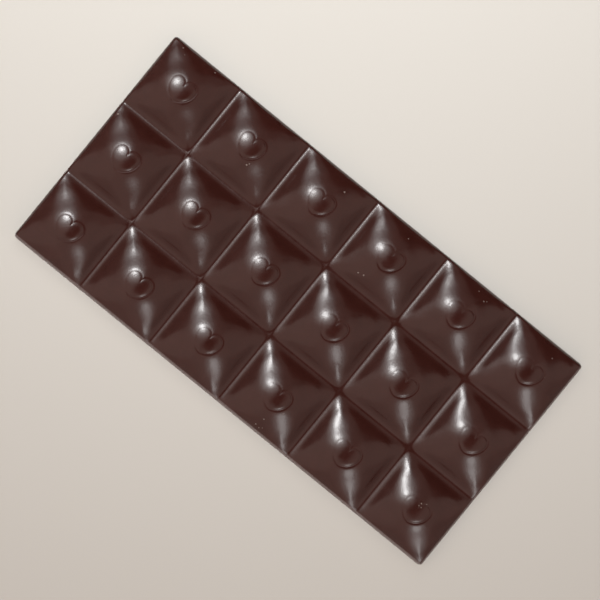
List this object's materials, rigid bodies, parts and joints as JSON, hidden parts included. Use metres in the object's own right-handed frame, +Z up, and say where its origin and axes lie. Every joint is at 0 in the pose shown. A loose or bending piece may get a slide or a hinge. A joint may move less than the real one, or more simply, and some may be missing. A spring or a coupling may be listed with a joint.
{
  "type": "chocolate bar",
  "caption": "Moulded dark chocolate tablet: a flat-backed slab broken by channels into pillowed square cells, each with a low raised heart.",
  "frame": {"origin": "middle of the flat back, on the surface the bar lies on", "axes": "+X along the bar, +Y across it towards the lobes of the hearts, +Z up out of the moulded face"},
  "size_m": [0.156, 0.077, 0.0096],
  "materials": {
    "dark_chocolate": "satin, tempered dark chocolate with a soft sheen"
  },
  "bodies": {
    "root": {"chocolate_bar": "dark_chocolate"}
  },
  "joints": []
}
